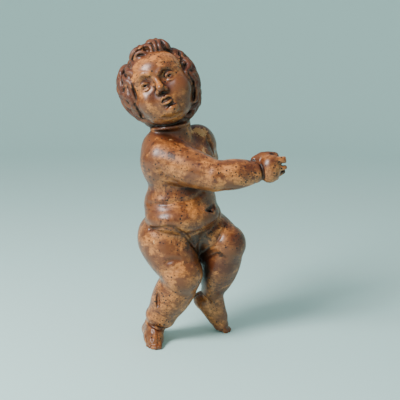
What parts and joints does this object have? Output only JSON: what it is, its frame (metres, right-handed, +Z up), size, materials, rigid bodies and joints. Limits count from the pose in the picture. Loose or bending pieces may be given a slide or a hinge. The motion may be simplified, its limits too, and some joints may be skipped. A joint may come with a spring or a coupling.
{
  "type": "wooden putto sculpture",
  "caption": "Carved and stained wooden putto that stands on one flat foot and the toes of the other, one arm held out, the other arm broken off at the shoulder.",
  "frame": {"origin": "on the ground plane that both soles rest on, under the middle of the figure's bounding box", "axes": "+Z up from the soles to the hair; -Y is the side that the face looks to, towards the picture's camera; +X is the side that the arm is held out to"},
  "size_m": [0.3, 0.182, 0.56],
  "materials": {
    "carved_wood": "dark stained and waxed, worn lighter on the raised forms, with bare patches and worm holes"
  },
  "bodies": {
    "root": {"putto_figure": "carved_wood"}
  },
  "joints": []
}
